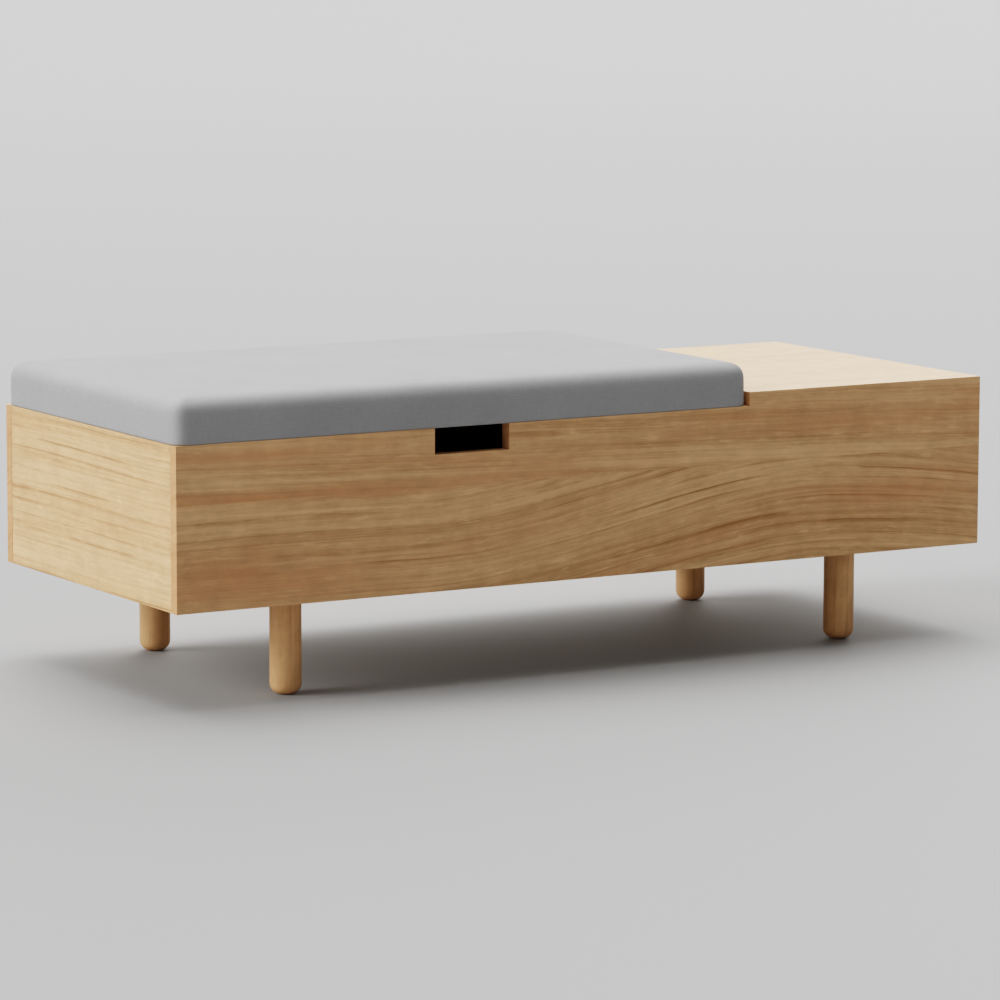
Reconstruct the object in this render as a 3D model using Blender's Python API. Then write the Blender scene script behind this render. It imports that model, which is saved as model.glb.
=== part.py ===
"""Storage ottoman bench: a board case on four round legs, with a padded lid on a continuous hinge and a
fixed table top beside it. Metres, +Z up, front towards -Y, origin on the floor under the case's middle."""

import math

import bmesh
import bpy
from mathutils import Vector

# Fits
CLEAR = 0.0003  # gap between pieces that touch or turn on each other
OVERCUT = 0.002  # how far a cut runs past the face that it opens

# Case
LENGTH = 1.200
DEPTH = 0.491
BOARD = 0.018
PANEL_HEIGHT = 0.207
FLOOR_GAP = 0.123
HOUSING = 0.003  # depth of the rebates and dadoes that take the cross panels
BOTTOM_BOARD = 0.012
BOTTOM_RECESS = 0.012
BOTTOM_GROOVE = 0.006

# Table
TABLE_LENGTH = 0.368
TABLE_BOARD = 0.018
TABLE_BEARING = 0.006  # width of the table's seat on the partition
CLEAT = 0.018

# Finger notch in the front panel
NOTCH_WIDTH = 0.108
NOTCH_DEPTH = 0.0335

# Legs and their fittings
LEG_DIAMETER = 0.0405
LEG_FOOT_RADIUS = 0.014
LEG_FROM_END = 0.182
LEG_FROM_FACE = 0.062
PLATE_SIDE = 0.056
PLATE_CORNER = 0.006
PLATE_THICKNESS = 0.003
PLATE_HOLE = 0.0045
PLATE_HOLE_INSET = 0.009
BOSS_DIAMETER = 0.014
BOSS_HEIGHT = 0.007
STUD_DIAMETER = 0.008
STUD_IN_LEG = 0.030

# Padded lid
LID_INSET = 0.001  # from the case's front, back and left faces
LID_TO_TABLE = 0.0016
LID_GAP = 0.0016  # from the case's rim up to the cover
LID_BOARD = 0.012
FOAM = 0.041
COVER = 0.001
SEAT_CORNER = 0.017
SEAT_EDGE = 0.020
SEAT_CROWN = 0.0015
SEAT_PULL = 0.0006  # how far the fabric draws the sides in, between the corners
HEM = 0.035
DUST_COVER = 0.0006
DUST_MARGIN = 0.024
BUMPER_DIAMETER = 0.008
BUMPER_FROM_LID_END = 0.060

# Continuous hinge
HINGE_END_MARGIN = 0.008
HINGE_LEAF = 0.013
HINGE_PLATE = 0.001
HINGE_KNUCKLE = 0.005
HINGE_KNUCKLES = 21
HINGE_PIN = 0.0022
HINGE_SCREWS = 8
HINGE_SCREW_HOLE = 0.003
HINGE_SCREW_MARGIN = 0.030
HINGE_SCREW_INSET = 0.0065

# Folding lid stays: a parallelogram of the hinge axis, the case pivot, the elbow and the lid pivot
STAY_CASE_REACH = 0.045
STAY_CASE_DROP = 0.115
STAY_LID_REACH = 0.150
STAY_LID_DROP = 0.014
STAY_PLATE = 0.002
STAY_WIDTH = 0.012
STAY_PIN = 0.0044
STAY_HEAD = 0.009
STAY_HEAD_DOME = 0.0062  # flat on top of a domed head
STAY_HEAD_HEIGHT = 0.0012
STAY_BRACKET_WIDTH = 0.022
STAY_BRACKET_LENGTH = 0.050
STAY_BRACKET_CORNER = 0.008
STAY_FLANGE = 0.016
STAY_FLANGE_LENGTH = 0.040
STAY_SCREW_HOLE = 0.004
STAY_SCREW_SPACING = 0.032

# Facets
LEG_SIDES = 32
PIN_SIDES = 16
HOLE_SIDES = 12
ARC_STEPS = 4
SEAT_STEPS = 6
SEAT_LONG_PARTS = 6
SEAT_SHORT_PARTS = 4
SEAT_TOP_RINGS = (0.25, 0.55, 0.85)  # places of the rings from the seat's edge to its middle line
SMOOTH_UNDER = math.radians(35)
MERGE = 1e-7

# Heights and lines that several pieces share
case_low = FLOOR_GAP
case_rim = FLOOR_GAP + PANEL_HEIGHT
table_low = case_rim + CLEAR
table_high = table_low + TABLE_BOARD
bottom_low = case_low + BOTTOM_RECESS
bottom_high = bottom_low + BOTTOM_BOARD
half_length = LENGTH / 2
half_depth = DEPTH / 2
inner_y = half_depth - BOARD
end_inner_x = half_length - BOARD
step_x = half_length - TABLE_LENGTH
partition_right = step_x + TABLE_BEARING
partition_left = partition_right - BOARD

lid_left = -half_length + LID_INSET
lid_right = step_x - LID_TO_TABLE
lid_middle = (lid_left + lid_right) / 2
lid_half_length = (lid_right - lid_left) / 2
lid_half_depth = half_depth - LID_INSET
lid_low = case_rim + LID_GAP
board_low = lid_low + COVER + CLEAR
board_high = board_low + LID_BOARD
foam_low = board_high + CLEAR
seat_shoulder = foam_low + FOAM + CLEAR + COVER - SEAT_EDGE
dust_high = lid_low - CLEAR
dust_low = dust_high - DUST_COVER

hinge_axis = Vector((lid_middle, half_depth + CLEAR + HINGE_KNUCKLE / 2, case_rim))
hinge_left = lid_left + HINGE_END_MARGIN
hinge_right = lid_right - HINGE_END_MARGIN


# Materials

def material(name, colour, roughness, metallic=0.0):
    made = bpy.data.materials.new(name)
    made.use_nodes = True
    shader = made.node_tree.nodes["Principled BSDF"]
    shader.inputs["Base Color"].default_value = (*colour, 1.0)
    shader.inputs["Roughness"].default_value = roughness
    shader.inputs["Metallic"].default_value = metallic
    return made


# Groups: an empty for each body, on the axis that the body turns on

def group(name, at, parent=None):
    empty = bpy.data.objects.new(name, None)
    bpy.context.scene.collection.objects.link(empty)
    empty.parent = parent
    empty.location = Vector(at) - (origin_of(parent) if parent else Vector())
    return empty


def origin_of(thing):
    place = Vector(thing.location)
    while thing.parent:
        thing = thing.parent
        place += thing.location
    return place


# Pieces and the cuts in them

def add_object(name, bm, owner, at):
    bmesh.ops.recalc_face_normals(bm, faces=bm.faces)
    mesh = bpy.data.meshes.new(name)
    bm.to_mesh(mesh)
    bm.free()
    made = bpy.data.objects.new(name, mesh)
    bpy.context.scene.collection.objects.link(made)
    made.parent = owner
    made.location = Vector(at) - origin_of(owner)
    return made


def add_piece(name, bm, finish, owner, at, turn=(0, 0, 0), smooth=False):
    piece = add_object(name, bm, owner, at)
    piece.rotation_euler = turn
    piece.data.materials.append(finish)
    if smooth:
        piece.data.shade_smooth()
        piece.data.set_sharp_from_angle(angle=SMOOTH_UNDER)
    return piece


def combine(piece, bm, at, operation="DIFFERENCE", turn=(0, 0, 0)):
    """Cuts a shape out of a piece, or joins it on, with a hidden helper object."""
    helper = add_object(f"{piece.name}_helper_{len(piece.modifiers)}", bm, piece.parent, at)
    helper.rotation_euler = turn
    helper.hide_render = True
    helper.display_type = "WIRE"
    modifier = piece.modifiers.new(helper.name, "BOOLEAN")
    modifier.operation = operation
    modifier.solver = "EXACT"
    modifier.object = helper


def box(low, high):
    """A box about its own middle, and the place of that middle."""
    size = Vector(high) - Vector(low)
    bm = bmesh.new()
    bmesh.ops.create_cube(bm, size=1.0)
    bmesh.ops.scale(bm, vec=size, verts=bm.verts)
    return bm, (Vector(low) + Vector(high)) / 2


def add_box(name, low, high, finish, owner):
    bm, middle = box(low, high)
    return add_piece(name, bm, finish, owner, middle)


def cut_box(piece, low, high):
    bm, middle = box(low, high)
    combine(piece, bm, middle)


def rounded_box(low, high, axis, radius):
    """A box with the edges along one axis rounded."""
    bm, middle = box(low, high)
    edges = [e for e in bm.edges if abs((e.verts[1].co - e.verts[0].co).normalized()[axis]) > 0.9]
    bmesh.ops.bevel(bm, geom=edges, offset=radius, segments=ARC_STEPS, profile=0.5, affect="EDGES")
    return bm, middle


def prism(outline, axis, thickness):
    """An outline across one axis, X or Y, made into a plate that is centred on that axis."""
    bm = bmesh.new()
    corners = [(0, u, v) if axis == "X" else (u, 0, v) for u, v in outline]
    face = bm.faces.new([bm.verts.new(corner) for corner in corners])
    direction = Vector((1, 0, 0)) if axis == "X" else Vector((0, 1, 0))
    bmesh.ops.translate(bm, vec=direction * -thickness / 2, verts=bm.verts)
    made = bmesh.ops.extrude_face_region(bm, geom=[face])["geom"]
    far_side = [element for element in made if isinstance(element, bmesh.types.BMVert)]
    bmesh.ops.translate(bm, vec=direction * thickness, verts=far_side)
    return bm


def turned(profile, sides):
    """A solid turned about Z from (radius, height) points that start and end on the axis."""
    bm = bmesh.new()
    points = [bm.verts.new((radius, 0, height)) for radius, height in profile]
    edges = [bm.edges.new(pair) for pair in zip(points, points[1:])]
    bmesh.ops.spin(
        bm, geom=points + edges, cent=(0, 0, 0), axis=(0, 0, 1), angle=math.tau, steps=sides, use_merge=True
    )
    bmesh.ops.remove_doubles(bm, verts=bm.verts, dist=MERGE)
    return bm


def rod(diameter, length, sides):
    """A plain cylinder along Z, about its own middle."""
    radius = diameter / 2
    end = length / 2
    return turned([(0, -end), (radius, -end), (radius, end), (0, end)], sides)


def along_x(inward=1):
    """The turn that points a turned piece's top along X, inward being 1 or -1."""
    return (0, inward * math.pi / 2, 0)


def drill(piece, at, diameter, length, turn=(0, 0, 0)):
    combine(piece, rod(diameter, length, HOLE_SIDES), at, turn=turn)


def arc(centre, radius, start, end, steps=ARC_STEPS):
    turns = [start + (end - start) * step / steps for step in range(steps + 1)]
    return [(centre[0] + radius * math.cos(t), centre[1] + radius * math.sin(t)) for t in turns]


# Case

def case_panel_outline(notched):
    """A long panel's outline: its top edge steps up to the table, and the front one has the finger notch."""
    outline = [
        (-half_length, case_low),
        (half_length, case_low),
        (half_length, table_high),
        (step_x, table_high),
        (step_x, case_rim),
    ]
    if notched:
        notch_low = case_rim - NOTCH_DEPTH
        notch_left = lid_middle - NOTCH_WIDTH / 2
        notch_right = lid_middle + NOTCH_WIDTH / 2
        outline += [
            (notch_right, case_rim),
            (notch_right, notch_low),
            (notch_left, notch_low),
            (notch_left, case_rim),
        ]
    return outline + [(-half_length, case_rim)]


def long_panel(name, side, finish, owner):
    """The front (side -1) or back (side 1) panel, with its housings for the cross panels and the bottom."""
    board = prism(case_panel_outline(notched=side < 0), "Y", BOARD)
    piece = add_piece(name, board, finish, owner, (0, side * (half_depth - BOARD / 2), 0))

    def house(x_low, x_high, z_low, z_high, depth):
        y_near = side * (inner_y - OVERCUT)
        y_far = side * (inner_y + depth)
        cut_box(piece, (x_low, min(y_near, y_far), z_low), (x_high, max(y_near, y_far), z_high))

    below = case_low - OVERCUT
    stop = case_rim + CLEAR
    house(-half_length - OVERCUT, -end_inner_x + CLEAR, below, case_rim + OVERCUT, HOUSING)
    house(end_inner_x - CLEAR, half_length + OVERCUT, below, stop, HOUSING)
    house(partition_left - CLEAR, partition_right + CLEAR, bottom_high, stop, HOUSING)
    groove_end = end_inner_x + BOTTOM_GROOVE + CLEAR
    house(-groove_end, groove_end, bottom_low - CLEAR, bottom_high + CLEAR, BOTTOM_GROOVE + CLEAR)
    return piece


def cross_panel(name, x_low, z_low, finish, owner):
    """An end panel or the partition, housed in the long panels."""
    reach = inner_y + HOUSING - CLEAR
    return add_box(name, (x_low, -reach, z_low), (x_low + BOARD, reach, case_rim), finish, owner)


def end_panel(name, side, finish, owner):
    piece = cross_panel(name, min(side * end_inner_x, side * half_length), case_low, finish, owner)
    near = side * (end_inner_x - OVERCUT)
    far = side * (end_inner_x + BOTTOM_GROOVE + CLEAR)
    cut_box(
        piece,
        (min(near, far), -half_depth, bottom_low - CLEAR),
        (max(near, far), half_depth, bottom_high + CLEAR),
    )


def back_panel(finish, owner):
    piece = long_panel("back_panel", 1, finish, owner)
    cut_box(
        piece,
        (hinge_left - CLEAR, half_depth - HINGE_LEAF - CLEAR, case_rim - HINGE_PLATE - 2 * CLEAR),
        (hinge_right + CLEAR, half_depth + OVERCUT, case_rim + OVERCUT),
    )


def bottom_panel(finish, owner):
    reach_x = end_inner_x + BOTTOM_GROOVE
    reach_y = inner_y + BOTTOM_GROOVE
    low = (-reach_x, -reach_y, bottom_low)
    high = (reach_x, reach_y, bottom_high)
    piece = add_box("bottom_panel", low, high, finish, owner)
    for x, y in leg_places().values():
        recess = rod(BOSS_DIAMETER + 2 * CLEAR, BOSS_HEIGHT + OVERCUT, PIN_SIDES)
        combine(piece, recess, (x, y, bottom_low + (BOSS_HEIGHT - OVERCUT) / 2))


def table(finish, owner):
    reach = inner_y - CLEAR
    add_box("table_top", (step_x, -reach, table_low), (half_length, reach, table_high), finish, owner)
    cleat_high = table_low - CLEAR
    for name, side in (("front", -1), ("back", 1)):
        y_near = side * reach
        y_far = side * (reach - CLEAT)
        add_box(
            f"table_cleat_{name}",
            (partition_right + CLEAR, min(y_near, y_far), cleat_high - CLEAT),
            (end_inner_x - CLEAR, max(y_near, y_far), cleat_high),
            finish,
            owner,
        )


# Legs

def leg_places():
    """Each leg's name and the place of its axis."""
    x = half_length - LEG_FROM_END
    y = half_depth - LEG_FROM_FACE
    return {
        "front_left": (-x, -y),
        "front_right": (x, -y),
        "back_left": (-x, y),
        "back_right": (x, y),
    }


def legs(wood, steel, owner):
    plate_high = bottom_low - CLEAR
    plate_low = plate_high - PLATE_THICKNESS
    leg_high = plate_low - CLEAR
    bore = STUD_DIAMETER / 2 + CLEAR
    radius = LEG_DIAMETER / 2
    foot = arc((radius - LEG_FOOT_RADIUS, LEG_FOOT_RADIUS), LEG_FOOT_RADIUS, -math.pi / 2, 0, ARC_STEPS + 2)
    bore_low = leg_high - STUD_IN_LEG - CLEAR
    leg_profile = [(0, 0), *foot, (radius, leg_high), (bore, leg_high), (bore, bore_low), (0, bore_low)]
    stud_low = leg_high - STUD_IN_LEG
    stud_high = plate_high + BOSS_HEIGHT - CLEAR
    half_side = PLATE_SIDE / 2
    hole = half_side - PLATE_HOLE_INSET
    for name, (x, y) in leg_places().items():
        add_piece(f"leg_{name}", turned(leg_profile, LEG_SIDES), wood, owner, (x, y, 0), smooth=True)
        stud = rod(STUD_DIAMETER, stud_high - stud_low, PIN_SIDES)
        add_piece(f"leg_stud_{name}", stud, steel, owner, (x, y, (stud_low + stud_high) / 2), smooth=True)
        bm, middle = rounded_box(
            (x - half_side, y - half_side, plate_low),
            (x + half_side, y + half_side, plate_high),
            2,
            PLATE_CORNER,
        )
        plate = add_piece(f"leg_plate_{name}", bm, steel, owner, middle)
        boss_length = BOSS_HEIGHT - CLEAR + PLATE_THICKNESS / 2
        boss_middle = plate_high + BOSS_HEIGHT - CLEAR - boss_length / 2
        combine(plate, rod(BOSS_DIAMETER, boss_length, PIN_SIDES), (x, y, boss_middle), "UNION")
        through = 2 * (BOSS_HEIGHT + PLATE_THICKNESS)
        combine(plate, rod(2 * bore, through, PIN_SIDES), (x, y, plate_high))
        for hole_x in (-hole, hole):
            for hole_y in (-hole, hole):
                drill(plate, (x + hole_x, y + hole_y, middle.z), PLATE_HOLE, through)


# Padded lid

def seat_ring(inset, height, pull):
    """The seat's outline, drawn in all round by inset and at mid side by pull, with its share of crown."""
    half_x = lid_half_length - inset
    half_y = lid_half_depth - inset
    corner = max(SEAT_CORNER - inset, SEAT_CORNER / 4)
    rise = min(max((height - seat_shoulder) / SEAT_EDGE, 0), 1)
    plan = []
    sides = ((half_x, half_y, SEAT_SHORT_PARTS), (half_y, half_x, SEAT_LONG_PARTS)) * 2
    for quarter, (out, across, parts) in enumerate(sides):
        straight = across - corner
        shares = [k / parts for k in range(1, parts)]
        side = [(out - pull * math.sin(math.pi * share), straight * (2 * share - 1)) for share in shares]
        bend = arc((out - corner, straight), corner, 0, math.pi / 2, SEAT_STEPS)
        cos, sin = math.cos(quarter * math.pi / 2), math.sin(quarter * math.pi / 2)
        plan += [(x * cos - y * sin, x * sin + y * cos) for x, y in side + bend]
    crown = SEAT_CROWN * rise

    def swell(x, y):
        return crown * (1 - (x / lid_half_length) ** 2) * (1 - (y / lid_half_depth) ** 2)

    return [(x, y, height + swell(x, y)) for x, y in plan]


def seat_upper_rings(offset):
    """The seat's skin from the lid board's top up over the crown, offset inwards."""
    mid_height = (board_high + seat_shoulder) / 2
    rings = [seat_ring(offset, foam_low, 0), seat_ring(offset, mid_height, SEAT_PULL)]
    radius = SEAT_EDGE - offset
    for across, up in arc((SEAT_EDGE, seat_shoulder), radius, math.pi, math.pi / 2, SEAT_STEPS):
        rings.append(seat_ring(across, up, SEAT_PULL))
    top = seat_shoulder + radius
    widest = lid_half_depth - SEAT_EDGE
    return rings + [seat_ring(SEAT_EDGE + widest * share, top, 0) for share in SEAT_TOP_RINGS]


def seat_lower_rings(offset):
    """The skin from the hem under the board, round the board's lower edge."""
    fold = COVER + CLEAR
    bend = arc((fold, lid_low + fold), fold - offset, -math.pi / 2, -math.pi, 2)
    return [seat_ring(HEM, lid_low + offset, 0)] + [seat_ring(across, up, 0) for across, up in bend]


def loft(bm, rings):
    """Joins rings of points, one after another, and returns their vertices."""
    loops = [[bm.verts.new(point) for point in ring] for ring in rings]
    for lower, upper in zip(loops, loops[1:]):
        join(bm, lower, upper)
    return loops


def join(bm, first, second):
    for k in range(len(first)):
        bm.faces.new((first[k - 1], first[k], second[k], second[k - 1]))


def close_top(bm, loop):
    """Closes the seat's last ring with a fan."""
    bmesh.ops.poke(bm, faces=[bm.faces.new(loop)])


def padded_lid(board_wood, foam, fabric, lining, owner):
    plan = (lid_middle, 0, 0)
    inset = COVER + CLEAR
    bm, middle = rounded_box(
        (lid_left + inset, -lid_half_depth + inset, board_low),
        (lid_right - inset, lid_half_depth - inset, board_high),
        2,
        SEAT_CORNER - inset,
    )
    add_piece("lid_board", bm, board_wood, owner, middle)

    bm = bmesh.new()
    loops = loft(bm, seat_upper_rings(COVER + CLEAR))
    bm.faces.new(loops[0])
    close_top(bm, loops[-1])
    add_piece("foam_core", bm, foam, owner, plan, smooth=True)

    bm = bmesh.new()
    outside = loft(bm, seat_lower_rings(0) + seat_upper_rings(0))
    inside = loft(bm, seat_lower_rings(COVER) + seat_upper_rings(COVER))
    join(bm, outside[0], inside[0])
    close_top(bm, outside[-1])
    close_top(bm, inside[-1])
    add_piece("seat_cover", bm, fabric, owner, plan, smooth=True)

    add_box(
        "dust_cover",
        (lid_left + DUST_MARGIN, -lid_half_depth + DUST_MARGIN, dust_low),
        (lid_right - DUST_MARGIN, lid_half_depth - DUST_MARGIN, dust_high),
        lining,
        owner,
    )


def lid_bumpers(rubber, owner):
    front_y = -half_depth + BOARD / 2
    partition_x = partition_left + (step_x - partition_left - LID_TO_TABLE) / 2
    places = {
        "front_left": (lid_left + BUMPER_FROM_LID_END, front_y),
        "front_right": (lid_right - BUMPER_FROM_LID_END, front_y),
        "left": (-half_length + BOARD / 2, 0),
        "partition": (partition_x, 0),
    }
    height = LID_GAP - 2 * CLEAR
    radius = BUMPER_DIAMETER / 2
    profile = [(0, 0), (radius, 0), (radius, height / 2), (radius - height / 2, height), (0, height)]
    for name, (x, y) in places.items():
        place = (x, y, case_rim + CLEAR)
        add_piece(f"lid_bumper_{name}", turned(profile, PIN_SIDES), rubber, owner, place, smooth=True)


# Continuous hinge

def hinge_spans():
    """The knuckles' spans along X, in turn for the case leaf and the lid leaf."""
    pitch = (hinge_right - hinge_left) / HINGE_KNUCKLES
    starts = [hinge_left + k * pitch for k in range(HINGE_KNUCKLES)]
    return [(start + CLEAR, start + pitch - CLEAR) for start in starts]


def joined(parts):
    """One mesh of several separate shapes, each a bmesh with the offset that places it."""
    whole = bmesh.new()
    for bm, offset in parts:
        bmesh.ops.translate(bm, vec=offset, verts=bm.verts)
        mesh = bpy.data.meshes.new("part")
        bm.to_mesh(mesh)
        bm.free()
        whole.from_mesh(mesh)
        bpy.data.meshes.remove(mesh)
    return whole


def hinge_leaf(name, own, plate_low, steel, owner):
    """A leaf: its plate with the screw holes, gaps for the other leaf's knuckles, and every other knuckle."""
    axis = hinge_axis
    piece = add_box(
        name,
        (hinge_left, half_depth - HINGE_LEAF, plate_low),
        (hinge_right, axis.y, plate_low + HINGE_PLATE),
        steel,
        owner,
    )
    span = hinge_right - hinge_left - 2 * HINGE_SCREW_MARGIN
    holes = []
    for k in range(HINGE_SCREWS):
        x = hinge_left + HINGE_SCREW_MARGIN + span * k / (HINGE_SCREWS - 1)
        place = Vector((x, half_depth - HINGE_LEAF + HINGE_SCREW_INSET, plate_low + HINGE_PLATE / 2))
        holes.append((rod(HINGE_SCREW_HOLE, 2 * HINGE_PLATE, HOLE_SIDES), place))
    combine(piece, joined(holes), (0, 0, 0))
    spans = hinge_spans()
    root_y = axis.y - HINGE_KNUCKLE / 2 - 2 * CLEAR
    gaps = []
    for k, (low, high) in enumerate(spans):
        if k % 2 == own:
            continue
        low -= 2 * CLEAR
        high += 2 * CLEAR
        if k == 0:
            low -= OVERCUT
        if k == len(spans) - 1:
            high += OVERCUT
        plate_high = plate_low + HINGE_PLATE
        gaps.append(box((low, root_y, plate_low - OVERCUT), (high, axis.y + OVERCUT, plate_high + OVERCUT)))
    combine(piece, joined(gaps), (0, 0, 0))
    knuckles = []
    for low, high in spans[own::2]:
        offset = Vector((0, 0, (low + high) / 2 - axis.x))
        knuckles.append((rod(HINGE_KNUCKLE, high - low, HOLE_SIDES), offset))
    combine(piece, joined(knuckles), axis, "UNION", along_x())
    bore = rod(HINGE_PIN + 2 * CLEAR, hinge_right - hinge_left + 2 * OVERCUT, HOLE_SIDES)
    combine(piece, bore, axis, turn=along_x())


def hinge(steel, case, lid):
    hinge_leaf("hinge_leaf_case", 0, case_rim - CLEAR - HINGE_PLATE, steel, case)
    hinge_leaf("hinge_leaf_lid", 1, case_rim + CLEAR, steel, lid)
    pin = rod(HINGE_PIN, hinge_right - hinge_left, HOLE_SIDES)
    add_piece("hinge_pin", pin, steel, case, hinge_axis, along_x(), smooth=True)


# Lid stays

def stay_bar(name, start, end, x, finish, owner):
    """A flat arm between two pivots in the plane at x, with round ends and pivot holes."""
    reach = Vector((end.y - start.y, end.z - start.z))
    heading = math.atan2(reach.y, reach.x)
    half_width = STAY_WIDTH / 2
    outline = arc((0, 0), half_width, heading + math.pi / 2, heading + 3 * math.pi / 2, 2 * ARC_STEPS)
    outline += arc(reach, half_width, heading - math.pi / 2, heading + math.pi / 2, 2 * ARC_STEPS)
    piece = add_piece(name, prism(outline, "X", STAY_PLATE), finish, owner, (x, start.y, start.z))
    for pivot in (start, end):
        drill(piece, (x, pivot.y, pivot.z), STAY_PIN + 2 * CLEAR, 2 * STAY_PLATE, along_x())


def stay_rivet(name, pivot, wall, inward, span, back_head, finish, owner):
    """A rivet along X through the layers in span, given as distances from the wall, with a domed head."""
    start, end = span
    pin = STAY_PIN / 2
    head = STAY_HEAD / 2
    profile = [(0, start), (pin, start)]
    if back_head:
        back = start - STAY_HEAD_HEIGHT
        profile = [(0, back), (head, back), (head, start), (pin, start)]
    crown = end + STAY_HEAD_HEIGHT
    profile += [(pin, end), (head, end), (head, (end + crown) / 2), (STAY_HEAD_DOME / 2, crown), (0, crown)]
    place = (wall, pivot.y, pivot.z)
    add_piece(name, turned(profile, PIN_SIDES), finish, owner, place, along_x(inward), smooth=True)


def lid_stay(name, wall, inward, finish, case, lid):
    """A folding stay against the wall at X = wall; inward is 1 or -1 along X, away from that wall."""
    case_pivot = hinge_axis + Vector((0, -STAY_CASE_REACH, -STAY_CASE_DROP))
    lid_pivot = hinge_axis + Vector((0, -STAY_LID_REACH, -STAY_LID_DROP))
    elbow = case_pivot + lid_pivot - hinge_axis
    case_pivot.x = lid_pivot.x = elbow.x = wall
    lower = group(f"{name}_lower", case_pivot, case)
    upper = group(f"{name}_upper", lid_pivot, lid)

    layer = STAY_PLATE + CLEAR
    bracket_near = CLEAR
    lower_near = bracket_near + layer
    upper_near = lower_near + layer
    half_plate = STAY_PLATE / 2

    def at(distance):
        return wall + inward * distance

    bm, _ = rounded_box(
        (-half_plate, -STAY_BRACKET_WIDTH / 2, -STAY_BRACKET_LENGTH / 2),
        (half_plate, STAY_BRACKET_WIDTH / 2, STAY_BRACKET_LENGTH / 2),
        0,
        STAY_BRACKET_CORNER,
    )
    bracket_place = Vector((at(bracket_near + half_plate), case_pivot.y, case_pivot.z))
    bracket = add_piece(f"{name}_case_bracket", bm, finish, case, bracket_place)
    drill(bracket, bracket_place, STAY_PIN + 2 * CLEAR, 2 * STAY_PLATE, along_x())
    for side in (-1, 1):
        hole = bracket_place + Vector((0, 0, side * STAY_SCREW_SPACING / 2))
        drill(bracket, hole, STAY_SCREW_HOLE, 2 * STAY_PLATE, along_x())

    stay_bar(f"{name}_lower_arm", case_pivot, elbow, at(lower_near + half_plate), finish, lower)
    stay_bar(f"{name}_upper_arm", lid_pivot, elbow, at(upper_near + half_plate), finish, upper)

    flange_high = dust_low - CLEAR
    ear_half = STAY_WIDTH / 2
    rise = flange_high - lid_pivot.z
    outline = [(ear_half, rise), (-ear_half, rise)] + arc((0, 0), ear_half, math.pi, math.tau, 2 * ARC_STEPS)
    ear_x = at(lower_near + half_plate)
    ear_place = (ear_x, lid_pivot.y, lid_pivot.z)
    ear = add_piece(f"{name}_lid_bracket", prism(outline, "X", STAY_PLATE), finish, lid, ear_place)
    flange_ends = sorted((at(lower_near), at(lower_near + STAY_FLANGE)))
    bm, middle = box(
        (flange_ends[0], lid_pivot.y - STAY_FLANGE_LENGTH / 2, flange_high - STAY_PLATE),
        (flange_ends[1], lid_pivot.y + STAY_FLANGE_LENGTH / 2, flange_high),
    )
    combine(ear, bm, middle, "UNION")
    drill(ear, ear_place, STAY_PIN + 2 * CLEAR, 2 * STAY_PLATE, along_x())
    for side in (-1, 1):
        hole = (at(lower_near + STAY_FLANGE / 2), lid_pivot.y + side * STAY_SCREW_SPACING / 2, middle.z)
        drill(ear, hole, STAY_SCREW_HOLE, 2 * STAY_PLATE)

    through_bracket = (2 * CLEAR, upper_near)
    through_arms = (lower_near - CLEAR, upper_near + layer)
    stay_rivet(f"{name}_case_rivet", case_pivot, wall, inward, through_bracket, False, finish, case)
    stay_rivet(f"{name}_lid_rivet", lid_pivot, wall, inward, through_arms, True, finish, lid)
    stay_rivet(f"{name}_elbow_rivet", elbow, wall, inward, through_arms, True, finish, lower)


def main():
    for old in list(bpy.data.objects):
        bpy.data.objects.remove(old)

    panel_wood = material("oak_panel", (0.55, 0.40, 0.23), 0.45)
    leg_wood = material("oak_leg", (0.45, 0.29, 0.14), 0.42)
    plywood = material("birch_plywood", (0.62, 0.50, 0.34), 0.55)
    fabric = material("grey_fabric", (0.42, 0.42, 0.42), 0.90)
    foam = material("foam", (0.85, 0.80, 0.62), 0.95)
    lining = material("black_lining", (0.02, 0.02, 0.02), 0.90)
    rubber = material("clear_rubber", (0.60, 0.60, 0.58), 0.50)
    steel = material("zinc_steel", (0.60, 0.60, 0.60), 0.35, 1.0)

    case = group("case", (0, 0, 0))
    lid = group("lid", hinge_axis, case)

    long_panel("front_panel", -1, panel_wood, case)
    back_panel(panel_wood, case)
    end_panel("left_end_panel", -1, panel_wood, case)
    end_panel("right_end_panel", 1, panel_wood, case)
    cross_panel("partition", partition_left, bottom_high + CLEAR, panel_wood, case)
    bottom_panel(plywood, case)
    table(panel_wood, case)
    legs(leg_wood, steel, case)
    padded_lid(plywood, foam, fabric, lining, lid)
    lid_bumpers(rubber, case)
    hinge(steel, case, lid)
    lid_stay("stay_left", -end_inner_x, 1, steel, case, lid)
    lid_stay("stay_right", partition_left, -1, steel, case, lid)


main()
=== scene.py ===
"""Storage ottoman bench: the finish of every surface, the padded seat, its lining and the small fasteners,
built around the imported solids. Metres, in the solids' own frame."""

import math

import bmesh
import bpy
from mathutils import Matrix, Vector


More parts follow.
